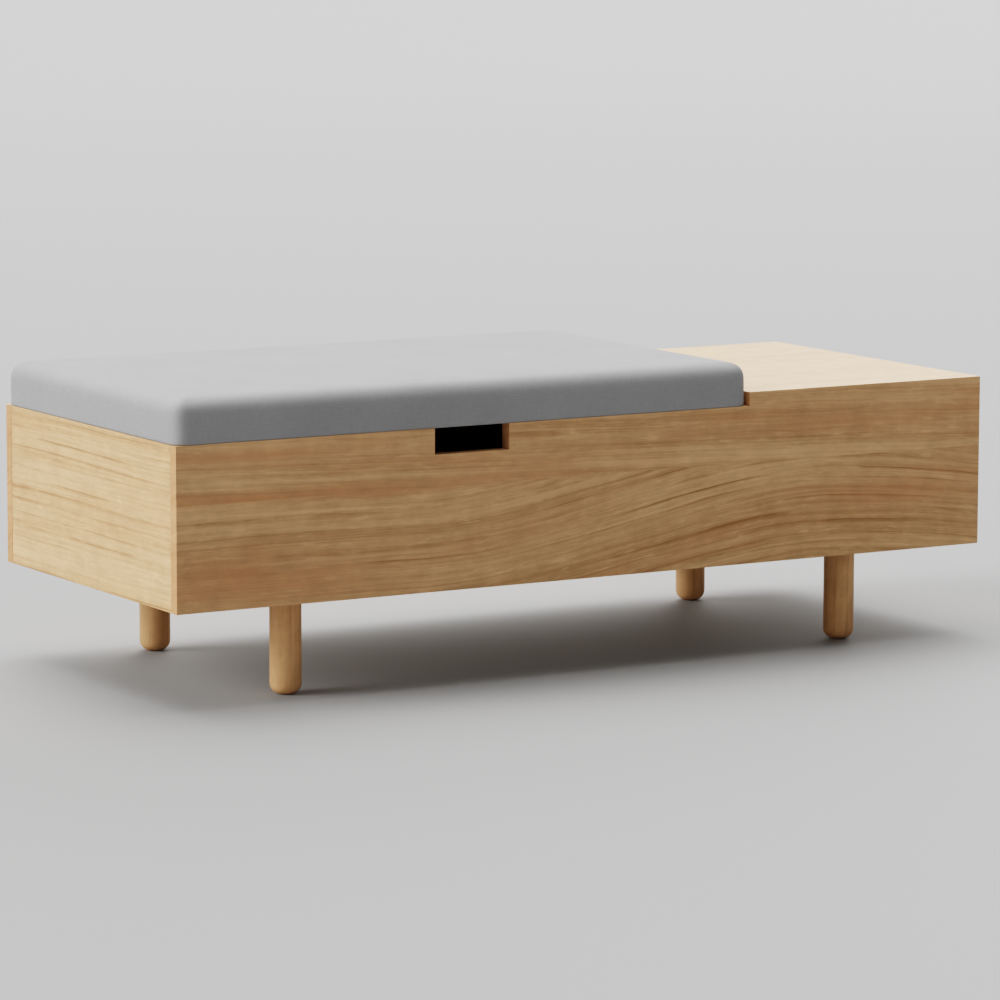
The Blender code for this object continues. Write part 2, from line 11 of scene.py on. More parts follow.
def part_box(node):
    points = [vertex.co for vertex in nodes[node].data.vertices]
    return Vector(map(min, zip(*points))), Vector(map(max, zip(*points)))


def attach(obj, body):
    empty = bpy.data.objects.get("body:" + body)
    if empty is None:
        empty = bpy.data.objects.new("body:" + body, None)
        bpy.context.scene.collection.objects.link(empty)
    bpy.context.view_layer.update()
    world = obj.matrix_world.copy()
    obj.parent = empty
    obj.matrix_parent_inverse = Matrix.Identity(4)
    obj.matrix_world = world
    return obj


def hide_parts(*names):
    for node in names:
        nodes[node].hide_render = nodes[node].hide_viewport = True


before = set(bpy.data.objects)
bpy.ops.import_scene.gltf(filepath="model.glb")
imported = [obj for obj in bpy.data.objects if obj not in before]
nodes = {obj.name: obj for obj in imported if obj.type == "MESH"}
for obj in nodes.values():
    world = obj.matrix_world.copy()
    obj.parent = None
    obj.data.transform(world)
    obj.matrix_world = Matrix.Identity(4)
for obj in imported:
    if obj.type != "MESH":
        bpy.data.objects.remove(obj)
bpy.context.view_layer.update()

# Camera, fitted to the photograph's straight edges
CAMERA_PLACE = (-3.2049, -5.4558, 1.0904)
CAMERA_YAW = 0.53118  # from +Y towards +X
CAMERA_PITCH = 0.14094  # downwards
CAMERA_ROLL = 0.0024
CAMERA_LENS = 174.0  # millimetres, on a sensor 36 wide
CAMERA_SENSOR = 36.0
CAMERA_FAR = 300.0

# Stage: each studio light has a bearing from +X and a height in degrees, a focus and a gain
FLOOR_REACH = 120.0
FLOOR_GREY_AND_PAINTED_LIGHT = ((0.29, 0.29, 0.29), (0.38, 0.38, 0.38))  # near and far: the floor's grey, painted paler far away as painted light
FLOOR_PAINTED_LIGHT_FADE = (-3.0, 14.0)  # places along Y between which the painted light on the floor goes from the near grey to the far
FLOOR_ROUGHNESS = 0.8
LIGHTS = (
    (65, 74, 12.0, 8.0),  # overhead, a little behind
    (165, 25, 26.0, 14.5),  # left
    (45, 18, 12.0, 4.15),  # right, behind
    (-100, 15, 5.0, 0.68),  # faint, in front
)
BACKDROP_COLOUR = (0.75, 0.75, 0.75)
VIEW_TRANSFORM = "Filmic"
VIEW_LOOK = "High Contrast"

# Finishes, as the light and the dark of each, and the blush of the woods
OAK = ((0.71, 0.443, 0.237), (0.35, 0.174, 0.072), (0.54, 0.260, 0.122))
END_OAK = ((0.76, 0.480, 0.257), (0.42, 0.220, 0.098), (0.59, 0.310, 0.148))
# The table top's oak has its dark tone raised so that its grain fades: partly the top's own paler oak, partly
# painted sheen
TABLE_OAK_AND_SHEEN = ((0.68, 0.410, 0.203), (0.54, 0.298, 0.132), (0.59, 0.315, 0.143))
LEG_OAK = ((0.69, 0.410, 0.212), (0.50, 0.270, 0.123), (0.60, 0.315, 0.145))
BIRCH = ((0.62, 0.46, 0.29), (0.52, 0.36, 0.21), (0.58, 0.40, 0.25))
GREY = ((0.349, 0.349, 0.351), (0.293, 0.293, 0.295))
LINING = ((0.040, 0.040, 0.042), (0.018, 0.018, 0.019))
ZINC = ((0.66, 0.66, 0.65), (0.50, 0.50, 0.50))
RUBBER = ((0.60, 0.60, 0.58), (0.50, 0.50, 0.48))

# Grain: each mark's scales along, across and through a board, and its noise's detail and roughness
MARKS = {
    "wave": ((1.3, 9, 9), 2.0, 0.5),
    "ripple": ((6, 40, 40), 2.0, 0.5),
    "drift": ((0, 22, 1), 2.0, 0.5),
    "breaks": ((5, 60, 9), 3.0, 0.6),
    "bands": ((1.0, 40, 9), 3.0, 0.6),
    "streaks": ((3.2, 260, 30), 4.0, 0.62),
    "dashes": ((40, 800, 90), 3.0, 0.65),
    "mottle": ((30, 36, 9), 4.0, 0.65),
    "flecks": ((30, 190, 60), 2.0, 0.5),
    "pores": ((60, 1700, 400), 2.0, 0.5),
    "warmth": ((2.2, 18, 3), 4.0, 0.6),
}
BREAKS_SET_IN = (0.40, 0.60)  # values of the noise between which a mark sets in
FLECKS_SET_IN = (0.58, 0.72)
PORES_SET_IN = (0.62, 0.76)
WARMTH_SETS_IN = (0.48, 0.76)
RING = 0.014  # mean spacing of the bold growth rings on a sawn face
RING_LINE = (0.55, 0.96)  # shares of a ring's width between which its dark line deepens
RING_BOLD = (0.3, 0.7)  # strength of the faintest ring, and what the boldest has more
RING_CONTRAST = 0.9
FRONT_CONTRAST = (0.40, 0.55)  # the front's contrast beside its arch, and what the arch adds
GRAIN_TILT = 0.4  # how far the rings lean through a board
GRAIN_WAVE = 0.016
GRAIN_DRIFT = 0.030
GRAIN_RIPPLE = 0.005
BOARD_SHIFT = 3.1  # sets the grain of a glued board apart from its neighbour's
FRONT_JOINT = 0.256  # height of the glue joint in the front and back panels
FRONT_ARCH = (-0.25, 0.33, 1.05, 0.075)  # the arched grain's left foot, crest, right foot and height
UPPER_SLOPE = 0.03  # how far the upper board's grain falls to the right
FRONT_BLUSHES = (  # warmer places of the front: middle along and across the grain, and reach each way
    (-0.50, 0.155, 0.22, 0.032),
    (-0.50, 0.312, 0.20, 0.010),
    (-0.36, 0.259, 0.26, 0.010),
    (0.46, 0.202, 0.14, 0.022),
)
BLUSH_FLOOR = 0.4  # strength of a blush where the mottle is darkest
WARM_SHARE = 0.6
END_FACING = (0.6, 0.9)  # how squarely a face cuts the grain where its end tone sets in
END_BLUSH = 0.60
LATE_BANDS = 1.2  # what each mark adds to the dark late wood
LATE_STREAKS = 1.2
LATE_DASHES = 0.65
LATE_FLECKS = -0.25
LATE_OFFSET = -1.19
SHADE = 0.77
SHADE_MOTTLE = 0.50
SHADE_PORES = -0.10
WOOD_ROUGHNESS = 0.44
ROUGH_DASHES = 0.12
ROUGH_LATE = 0.08
WOOD_SHEEN = 0.25
RELIEF_DASHES = 0.4
RELIEF_STREAKS = 0.4
RELIEF_PORES = -0.6
RELIEF_STRENGTH = 0.25
RELIEF_DEPTH = 0.0002

# Fabric, a plain weave
YARN = 0.0011
YARN_HEIGHT = (0.6, 0.4)  # mean height of a yarn, and how far it rises where it lies over the other
YARN_NOISE = (900, 60)  # across a yarn and along it
CLOUD_NOISE = (9, 9, 0)
TONE_YARNS = 0.7
TONE_CLOUDS = 0.3
TONE_SETS_IN = (0.3, 0.7)
WEAVE_PAINTED_SHADE = (0.9, 0.15)  # painted shade: the tone between the yarns, and what their height adds

# Lining of bonded fibre
FIBRE_NOISE = (900, 900, 900)
FIBRE_RELIEF = 0.4
DIMPLE = 0.0025  # spacing of the bonding dots
DIMPLE_SCATTER = 0.25
DIMPLE_RIM = (0.12, 0.30)  # distances from a dot's middle, in spacings, between which its rim lies
LINING_ROUGHNESS = (0.55, 0.85)  # on the dots and between them

# Zinc and rubber
ZINC_CLOUDS = (60, 60, 60)
ZINC_MARKS = (60, 1800, 1800)
ZINC_ROUGHNESS = (0.24, 0.16, 0.08)  # at the least, and what the clouds and the marks add
RUBBER_MOTTLE = (700, 700, 700)
RUBBER_SETS_IN = (0.2, 0.8)
RUBBER_ROUGHNESS = (0.45, 0.6)
RUBBER_DEPTH = 0.001  # how far light goes in

# Seat
SEAT_EDGE = 0.020
SEAT_CORNER = 0.017
SEAT_FOLD = 0.0005
SEAT_HEM = 0.035
SEAT_COVER = 0.001
SEAT_CROWN = 0.0015
SEAT_FULL = 0.0006  # how far the sides stand out from the solid
SEAT_CELL = 0.008
SEAT_SLACK = 0.0003  # how much lower the skin starts than the seat
SEAT_LIP = 0.0025
SEAT_DROP = 0.0015  # how far the fold hangs below the hem in front and at the left
SEAT_SWELL = 0.0008
SEAT_PRESSURE = 4.0
SEAT_FRAMES = 20
RAY_LENGTH = 1.5  # in distances from the seat's core to its box, so that a ray passes the skin
HALVINGS = 24  # steps of the search for the skin on a ray

# Lining under the lid, and its staples
LINING_CELL = 0.0115
LINING_THICKNESS = 0.0005
LINING_LIFT = 0.0008  # how much higher the lining lies inside the hem than on it
LINING_PUCKER = 0.0002
STAPLE_WIDTH = 0.010
STAPLE_WIRE = 0.0012
STAPLE_HEIGHT = 0.0006
STAPLE_INSET = 0.006
STAPLE_STEP = 0.046
STAPLE_TO_STAY = 0.028
STAPLE_SECTION = ((-1, 0), (1, 0), (0.7, -1), (-0.7, -1))  # corners of the wire, across and down
STAPLE_CUTS = (-0.995, -0.97, -0.88, -0.7, 0.0, 0.7, 0.88, 0.97, 0.995)  # in half widths from its middle
STAPLE_SQUARENESS = 6

# Screws: radius and height of each kind of head
PAN_HEAD = (0.0036, 0.0017)
FLAT_HEAD = (0.0034, 0.00014)
HINGE_HEAD = (0.0026, 0.00012)
HEAD_DEPTH = 0.0016
HEAD_RINGS = 5
HEAD_SQUARENESS = 0.5
SCREW_SIDES = 24
SCREW_TURN = 2.4  # from one screw's recess to the next one's
SCREW_MERGE = 0.000004
RECESS_LENGTH = 1.1  # in radii of the head
RECESS_WIDTH = 0.0009
RECESS_DEPTH = 0.0010
PLATE_SCREW_INSET = 0.009
STAY_PLATE = 0.002
STAY_SCREW_STEP = 0.016
FLANGE_SCREW_INSET = 0.008
HINGE_SCREWS = 8
HINGE_SCREW_MARGIN = 0.030
HINGE_SCREW_INSET = 0.0065
HINGE_CLEAR = 0.0003

# Arrises
PANEL_ARRIS = 0.0006
ARRIS_SEGMENTS = 2
MERGE = 0.00001
FLAT_UNDER = math.radians(1)
SHARP_OVER = math.radians(30)

CORNERS = ("front_left", "front_right", "back_left", "back_right")


# Objects

def add_object(name, data):
    made = bpy.data.objects.new(name, data)
    bpy.context.scene.collection.objects.link(made)
    return made


def mesh_object(name, bm):
    mesh = bpy.data.meshes.new(name)
    bm.to_mesh(mesh)
    bm.free()
    return add_object(name, mesh)


def add_piece(name, bm, body, paint):
    piece = mesh_object(name, bm)
    piece.data.materials.append(paint.made)
    piece.data.shade_smooth()
    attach(piece, body)
    return piece


# Nodes

class Nodes:
    """Short calls that add nodes to a tree. A value is a number, a colour, a vector or a node's output."""

    def __init__(self, tree):
        self.tree = tree

    def put(self, socket, value):
        if isinstance(value, bpy.types.NodeSocket):
            self.tree.links.new(value, socket)
        else:
            socket.default_value = value

    def node(self, kind, inputs=None, **settings):
        made = self.tree.nodes.new("ShaderNode" + kind)
        for key, value in settings.items():
            setattr(made, key, value)
        for key, value in (inputs or {}).items():
            self.put(made.inputs[key], value)
        return made

    def math(self, operation, *values):
        return self.node("Math", dict(enumerate(values)), operation=operation).outputs[0]

    def sum(self, *values):
        total = values[0]
        for value in values[1:]:
            total = self.math("ADD", total, value)
        return total

    def times(self, *values):
        product = values[0]
        for value in values[1:]:
            product = self.math("MULTIPLY", product, value)
        return product

    def vector(self, x, y, z):
        return self.node("CombineXYZ", {0: x, 1: y, 2: z}).outputs[0]

    def parts(self, vector):
        return self.node("SeparateXYZ", {0: vector}).outputs

    def noise(self, place, scales, detail=2.0, roughness=0.5):
        """Noise from 0 to 1 at a place, stretched by the three scales."""
        scaled = self.node("VectorMath", {0: place, 1: scales}, operation="MULTIPLY").outputs["Vector"]
        inputs = {"Vector": scaled, "Scale": 1.0, "Detail": detail, "Roughness": roughness}
        return self.node("TexNoise", inputs).outputs[0]

    def step(self, value, low, high, start=0.0, end=1.0):
        """A smooth step from start to end as the value goes from low to high."""
        inputs = {"Value": value, "From Min": low, "From Max": high, "To Min": start, "To Max": end}
        return self.node("MapRange", inputs, interpolation_type="SMOOTHSTEP").outputs["Result"]

    def mix(self, share, first, second):
        """A colour between two, each given as three numbers or a node's output."""
        made = self.node("Mix", data_type="RGBA")
        ends = [(*end, 1) if isinstance(end, tuple) else end for end in (first, second)]
        for socket, value in zip((made.inputs[0], made.inputs[6], made.inputs[7]), (share, *ends)):
            self.put(socket, value)
        return made.outputs[2]

    def scaled(self, colour, factor):
        return self.node("VectorMath", {0: colour, "Scale": factor}, operation="SCALE").outputs["Vector"]


class Paint(Nodes):
    """A material."""

    def __init__(self, name):
        self.made = bpy.data.materials.new(name)
        self.made.use_nodes = True
        super().__init__(self.made.node_tree)
        self.shader = self.tree.nodes["Principled BSDF"]

    def set(self, name, value):
        self.put(self.shader.inputs[name], value)

    def place(self):
        return self.node("TexCoord").outputs["Object"]

    def bump(self, height, strength, distance):
        inputs = {"Height": height, "Strength": strength, "Distance": distance}
        self.set("Normal", self.node("Bump", inputs).outputs["Normal"])


# Camera and stage

def make_camera():
    data = bpy.data.cameras.new("camera")
    data.lens = CAMERA_LENS
    data.sensor_width = CAMERA_SENSOR
    data.clip_end = CAMERA_FAR
    camera = add_object("camera", data)
    level = Matrix.Rotation(math.pi / 2 - CAMERA_PITCH, 4, "X")
    turn = Matrix.Rotation(-CAMERA_YAW, 4, "Z") @ level @ Matrix.Rotation(CAMERA_ROLL, 4, "Z")
    camera.matrix_world = Matrix.Translation(CAMERA_PLACE) @ turn
    bpy.context.scene.camera = camera


def make_floor():
    bm = bmesh.new()
    bmesh.ops.create_grid(bm, x_segments=1, y_segments=1, size=FLOOR_REACH)
    floor = mesh_object("floor", bm)
    paint = Paint("floor")
    # Painted light: the floor's grey is painted paler towards the back
    far = paint.step(paint.parts(paint.place())["Y"], *FLOOR_PAINTED_LIGHT_FADE)
    paint.set("Base Color", paint.mix(far, *FLOOR_GREY_AND_PAINTED_LIGHT))
    paint.set("Roughness", FLOOR_ROUGHNESS)
    floor.data.materials.append(paint.made)


def make_light():
    """A studio of soft light lobes, behind a plain backdrop."""
    world = bpy.data.worlds.new("studio")
    world.use_nodes = True
    sky = Nodes(world.node_tree)
    direction = sky.node("TexCoord").outputs["Generated"]

    def lobe(bearing, height, focus, gain):
        turn = Matrix.Rotation(math.radians(bearing), 3, "Z") @ Matrix.Rotation(math.radians(-height), 3, "Y")
        inputs = {0: direction, 1: turn @ Vector((1, 0, 0))}
        facing = sky.node("VectorMath", inputs, operation="DOT_PRODUCT").outputs["Value"]
        return sky.times(sky.math("POWER", sky.math("MAXIMUM", facing, 0.0), focus), gain)

    lit = sky.sum(*(lobe(*each) for each in LIGHTS))
    light = sky.node("Background", {"Color": (1, 1, 1, 1), "Strength": lit})
    backdrop = sky.node("Background", {"Color": (*BACKDROP_COLOUR, 1), "Strength": 1.0})
    seen = sky.node("LightPath").outputs["Is Camera Ray"]
    both = sky.node("MixShader", {0: seen, 1: light.outputs[0], 2: backdrop.outputs[0]})
    sky.put(world.node_tree.nodes["World Output"].inputs["Surface"], both.outputs[0])
    scene = bpy.context.scene
    scene.world = world
    scene.view_settings.view_transform = VIEW_TRANSFORM
    scene.view_settings.look = VIEW_LOOK


# Materials

def wood(name, axes, seed, finish, joint=None, arch=None, blushes=()):
    """Oiled wood with its grain along the first axis: rings, streaks, dashes, flecks, pores and blushes.
    A joint is the place across the grain where two boards are glued, and the arch is in the lower one."""
    light, dark, blush = finish
    paint = Paint(name)
    place = paint.parts(paint.place())
    along, across, depth = (place[axis] for axis in axes)
    depth = paint.sum(depth, seed)
    grown = across
    contrast = RING_CONTRAST
    if joint is not None:
        upper = paint.math("GREATER_THAN", across, joint)
        depth = paint.sum(depth, paint.times(upper, BOARD_SHIFT))
        grown = paint.sum(grown, paint.times(upper, along, UPPER_SLOPE))
    if arch is not None:
        left, crest, right, rise = arch
        hill = paint.times(paint.step(along, left, crest), paint.step(along, crest, right, 1.0, 0.0))
        below = paint.math("LESS_THAN", across, joint)
        grown = paint.sum(grown, paint.times(hill, below, -rise))
        beside, more = FRONT_CONTRAST
        contrast = paint.sum(paint.times(hill, below, more), beside)

    def mark(kind, place):
        return paint.noise(place, *MARKS[kind])

    grain = paint.vector(along, across, depth)
    wave = mark("wave", grain)
    ripple = mark("ripple", grain)
    drift = mark("drift", paint.vector(0, grown, depth))
    grown = paint.sum(
        grown,
        paint.times(wave, GRAIN_WAVE),
        paint.times(ripple, GRAIN_RIPPLE),
        paint.times(drift, GRAIN_DRIFT),
        paint.times(depth, GRAIN_TILT),
    )
    grain = paint.vector(along, grown, depth)
    ring = paint.times(grown, 1 / RING)
    turn = paint.math("FRACT", ring)
    number = paint.math("FLOOR", ring)
    bold = paint.node("TexWhiteNoise", {"W": number}, noise_dimensions="1D").outputs["Value"]
    line = paint.times(paint.step(turn, *RING_LINE), paint.step(turn, RING_LINE[1], 1.0, 1.0, 0.0))
    broken = paint.step(mark("breaks", grain), *BREAKS_SET_IN)
    faintest, more = RING_BOLD
    rings = paint.times(line, line, broken, contrast, paint.sum(paint.times(bold, more), faintest))
    bands = mark("bands", grain)
    streaks = mark("streaks", grain)
    dashes = mark("dashes", grain)
    mottle = mark("mottle", grain)
    flecks = paint.step(mark("flecks", grain), *FLECKS_SET_IN)
    pores = paint.step(mark("pores", grain), *PORES_SET_IN)
    warm = paint.step(mark("warmth", grain), *WARMTH_SETS_IN)
    for middle, height, reach, spread in blushes:
        off = paint.times(paint.sum(along, -middle), 1 / reach)
        up = paint.times(paint.sum(across, -height), 1 / spread)
        far = paint.sum(paint.times(off, off), paint.times(up, up))
        near = paint.math("EXPONENT", paint.times(far, -1.0))
        warm = paint.sum(warm, paint.times(near, paint.sum(mottle, BLUSH_FLOOR)))

    late = paint.sum(
        rings,
        paint.times(bands, LATE_BANDS),
        paint.times(streaks, LATE_STREAKS),
        paint.times(dashes, LATE_DASHES),
        paint.times(flecks, LATE_FLECKS),
        LATE_OFFSET,
    )
    shade = paint.sum(SHADE, paint.times(mottle, SHADE_MOTTLE), paint.times(pores, SHADE_PORES))
    facing = paint.parts(paint.node("TexCoord").outputs["Normal"])[axes[0]]
    cut = paint.step(paint.math("ABSOLUTE", facing), *END_FACING, 0.0, END_BLUSH)
    sawn = paint.mix(paint.times(warm, WARM_SHARE), paint.mix(late, light, dark), blush)
    paint.set("Base Color", paint.scaled(paint.mix(cut, sawn, blush), shade))
    rough = paint.sum(WOOD_ROUGHNESS, paint.times(dashes, ROUGH_DASHES), paint.times(late, ROUGH_LATE))
    paint.set("Roughness", rough)
    paint.set("Specular IOR Level", WOOD_SHEEN)
    height = paint.sum(
        paint.times(dashes, RELIEF_DASHES),
        paint.times(streaks, RELIEF_STREAKS),
        paint.times(pores, RELIEF_PORES),
    )
    paint.bump(height, RELIEF_STRENGTH, RELIEF_DEPTH)
    return paint


def fabric():
    """A plain weave of grey yarns that differ a little."""
    paint = Paint("fabric")
    place = paint.node("UVMap", uv_map="weave").outputs["UV"]
    u, v = (paint.times(part, math.pi / YARN) for part in (paint.parts(place)["X"], paint.parts(place)["Y"]))
    warp = paint.math("SINE", u)
    weft = paint.math("SINE", v)
    over = paint.times(warp, weft)
    mean, rise = YARN_HEIGHT
    warp_height = paint.times(paint.math("ABSOLUTE", warp), paint.sum(mean, paint.times(over, rise)))
    weft_height = paint.times(paint.math("ABSOLUTE", weft), paint.sum(mean, paint.times(over, -rise)))
    height = paint.math("MAXIMUM", warp_height, weft_height)
    across, along = YARN_NOISE
    warp_yarn = paint.noise(place, (across, along, 0))
    weft_yarn = paint.noise(place, (along, across, 0))
    yarn = paint.sum(paint.times(warp_yarn, 0.5), paint.times(weft_yarn, 0.5))
    cloud = paint.noise(place, CLOUD_NOISE, 3.0)
    light, dark = GREY
    tone = paint.sum(paint.times(yarn, TONE_YARNS), paint.times(cloud, TONE_CLOUDS))
    colour = paint.mix(paint.step(tone, *TONE_SETS_IN), dark, light)
    # Painted shade: the weave's colour is darker where the yarns dip
    between, more = WEAVE_PAINTED_SHADE
    paint.set("Base Color", paint.scaled(colour, paint.sum(between, paint.times(height, more))))
    paint.set("Roughness", 0.92)
    paint.set("Specular IOR Level", 0.2)
    paint.set("Sheen Weight", 0.06)
    paint.set("Sheen Roughness", 0.5)
    paint.bump(height, 0.3, 0.0003)
    return paint


def lining():
    """Thin bonded fibre, pressed in dots."""
    paint = Paint("lining")
    place = paint.place()
    fibres = paint.noise(place, FIBRE_NOISE, 4.0, 0.7)
    spread = paint.node("VectorMath", {0: place, "Scale": 1 / DIMPLE}, operation="SCALE").outputs["Vector"]
    inputs = {"Vector": spread, "Scale": 1.0, "Randomness": DIMPLE_SCATTER}
    pressed = paint.step(paint.node("TexVoronoi", inputs).outputs["Distance"], *DIMPLE_RIM)
    light, dark = LINING
    paint.set("Base Color", paint.mix(paint.times(fibres, pressed), dark, light))
    paint.set("Roughness", paint.step(pressed, 0.0, 1.0, *LINING_ROUGHNESS))
    paint.set("Specular IOR Level", 0.3)
    paint.bump(paint.sum(pressed, paint.times(fibres, FIBRE_RELIEF)), 0.4, 0.0002)
    return paint


def zinc():
    """Zinc plate: faintly clouded, with fine marks from rolling."""
    paint = Paint("steel")
    place = paint.place()
    cloud = paint.noise(place, ZINC_CLOUDS, 3.0, 0.6)
    marks = paint.noise(place, ZINC_MARKS, 2.0, 0.6)
    light, dark = ZINC
    paint.set("Base Color", paint.mix(cloud, dark, light))
    paint.set("Metallic", 1.0)
    least, clouded, marked = ZINC_ROUGHNESS
    paint.set("Roughness", paint.sum(least, paint.times(cloud, clouded), paint.times(marks, marked)))
    paint.bump(marks, 0.15, 0.0001)
    return paint


def rubber():
    """Soft grey rubber, slightly mottled."""
    paint = Paint("rubber")
    mottle = paint.noise(paint.place(), RUBBER_MOTTLE, 3.0)
    light, dark = RUBBER
    paint.set("Base Color", paint.mix(mottle, dark, light))
    paint.set("Roughness", paint.step(mottle, *RUBBER_SETS_IN, *RUBBER_ROUGHNESS))
    paint.set("Subsurface Weight", 0.2)
    paint.set("Subsurface Radius", (RUBBER_DEPTH, RUBBER_DEPTH, RUBBER_DEPTH))
    paint.bump(mottle, 0.1, 0.0001)
    return paint


def dress(paint, *names):
    for name in names:
        nodes[name].material_slots[0].material = paint.made


# Edges of the solids

def smooth_group():
    """Geometry nodes that shade a mesh smooth, apart from its sharp edges."""
    group = bpy.data.node_groups.new("smooth", "GeometryNodeTree")
    for way in ("INPUT", "OUTPUT"):
        group.interface.new_socket("Geometry", in_out=way, socket_type="NodeSocketGeometry")
    start = group.nodes.new("NodeGroupInput")
    faces = group.nodes.new("GeometryNodeSetShadeSmooth")
    edges = group.nodes.new("GeometryNodeSetShadeSmooth")
    edges.domain = "EDGE"
    angle = group.nodes.new("GeometryNodeInputMeshEdgeAngle")
    blunt = group.nodes.new("FunctionNodeCompare")
    blunt.operation = "LESS_THAN"
    blunt.inputs[1].default_value = SHARP_OVER
    end = group.nodes.new("NodeGroupOutput")
    group.links.new(start.outputs[0], faces.inputs["Geometry"])
    group.links.new(faces.outputs[0], edges.inputs["Geometry"])
    group.links.new(angle.outputs["Unsigned Angle"], blunt.inputs[0])
    group.links.new(blunt.outputs[0], edges.inputs["Shade Smooth"])
    group.links.new(edges.outputs[0], end.inputs[0])
    return group


def ease_edges(group, arris, names):
    """Joins each solid's facets into whole faces and rounds its arrises."""
    for name in names:
        changes = nodes[name].modifiers
        changes.new("join", "WELD").merge_threshold = MERGE
        if arris:
            faces = changes.new("faces", "DECIMATE")
            faces.decimate_type = "DISSOLVE"
            faces.angle_limit = FLAT_UNDER
            round_over = changes.new("arris", "BEVEL")
            round_over.width = arris
            round_over.segments = ARRIS_SEGMENTS
            round_over.limit_method = "ANGLE"
            round_over.angle_limit = SHARP_OVER
        changes.new("smooth", "NODES").node_group = group
        if arris:
            changes.new("flat", "WEIGHTED_NORMAL").keep_sharp = True


# Seat

def round_max(first, second, radius):
    """The larger of two distances, with a round of that radius where they meet."""
    corner = math.hypot(max(first + radius, 0), max(second + radius, 0))
    return min(max(first, second), -radius) + corner


class Seat:
    """The seat's skin: a box with round corners, a rounder top edge, and a hem folded under its board."""

    def __init__(self):
        low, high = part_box("seat_cover")
        self.middle = Vector(((low.x + high.x) / 2, (low.y + high.y) / 2, 0))
        self.half_x = (high.x - low.x) / 2 + SEAT_FULL
        self.half_y = (high.y - low.y) / 2 + SEAT_FULL
        self.low = low.z
        self.top = high.z - SEAT_CROWN

    def outside(self, place):
        """How far outside the skin a place is."""
        x, y, z = place
        side = round_max(abs(x) - self.half_x, abs(y) - self.half_y, SEAT_CORNER)
        bay = max(1 - (x / self.half_x) ** 2, 0) * max(1 - (y / self.half_y) ** 2, 0)
        top = z - self.top + SEAT_SLACK - SEAT_CROWN * bay
        return round_max(round_max(side, top, SEAT_EDGE), self.low - z, SEAT_FOLD)

    def laid(self, place):
        """The place on the skin that a place on the sharp-edged box stands for."""
        x, y, z = place
        keep_x, keep_y = self.half_x - SEAT_EDGE, self.half_y - SEAT_EDGE
        core = Vector((
            min(max(x, -keep_x), keep_x),
            min(max(y, -keep_y), keep_y),
            min(max(z, self.low + SEAT_FOLD), self.top - SEAT_EDGE),
        ))
        reach = (place - core) * RAY_LENGTH
        near, far = 0.0, 1.0
        for _ in range(HALVINGS):
            half = (near + far) / 2
            if self.outside(core + reach * half) < 0:
                near = half
            else:
                far = half
        return core + reach * near

    def skin(self):
        """The skin as a mesh, with each point's place on the flat cloth."""
        columns = round(2 * self.half_x / SEAT_CELL)
        rows = round(2 * self.half_y / SEAT_CELL)
        height = self.top - self.low
        levels = round(height / SEAT_CELL)
        hems = round(SEAT_HEM / SEAT_CELL)
        steps = [(height * k / levels, 0) for k in range(1, levels)] + [(height - SEAT_LIP, 0), (height, 0)]
        steps += [(height, SEAT_LIP)] + [(height, SEAT_HEM * k / hems) for k in range(1, hems + 1)]
        bm = bmesh.new()
        flat = {}

        def point(i, j, down=0.0, under=0.0):
            """A point of the top, or one down the side and then in under the board."""
            x = self.half_x * (2 * i / columns - 1)
            y = self.half_y * (2 * j / rows - 1)
            place = self.laid(Vector((x, y, self.top - down)))
            if under:
                inner_x = place.x * (1 - under / self.half_x)
                inner_y = place.y * (1 - under / self.half_y)
                place = Vector((inner_x, inner_y, self.low))
            elif down == height and 0 in (i, j):
                place.z -= SEAT_DROP
            vert = bm.verts.new(place + self.middle)
            out_x = (i == columns) - (i == 0)
            out_y = (j == rows) - (j == 0)
            flat[vert] = (x + out_x * (down + under), y + out_y * (down + under))
            return vert

        top = [[point(i, j) for j in range(rows + 1)] for i in range(columns + 1)]
        for i in range(columns):
            for j in range(rows):
                bm.faces.new((top[i][j], top[i + 1][j], top[i + 1][j + 1], top[i][j + 1]))
        rim = [(i, 0) for i in range(columns)] + [(columns, j) for j in range(rows)]
        rim += [(columns - i, rows) for i in range(columns)] + [(0, rows - j) for j in range(rows)]
        ring = [top[i][j] for i, j in rim]
        crease = bm.edges.layers.float.new("crease_edge")
        for down, under in steps:
            lower = [point(i, j, down, under) for i, j in rim]
            for k in range(len(rim)):
                bm.faces.new((ring[k - 1], lower[k - 1], lower[k], ring[k]))
                bm.edges.get((lower[k - 1], lower[k]))[crease] = down == height and not under
            ring = lower
        weave = bm.loops.layers.uv.new("weave")
        for face in bm.faces:
            for loop in face.loops:
                loop[weave].uv = flat[loop.vert]
        return bm

    def grip(self, height):
        """How firmly the skin is held at a height: fully below the round of its edge, not at all on top."""
        return min(max((self.top - height) / SEAT_EDGE, 0), 1)


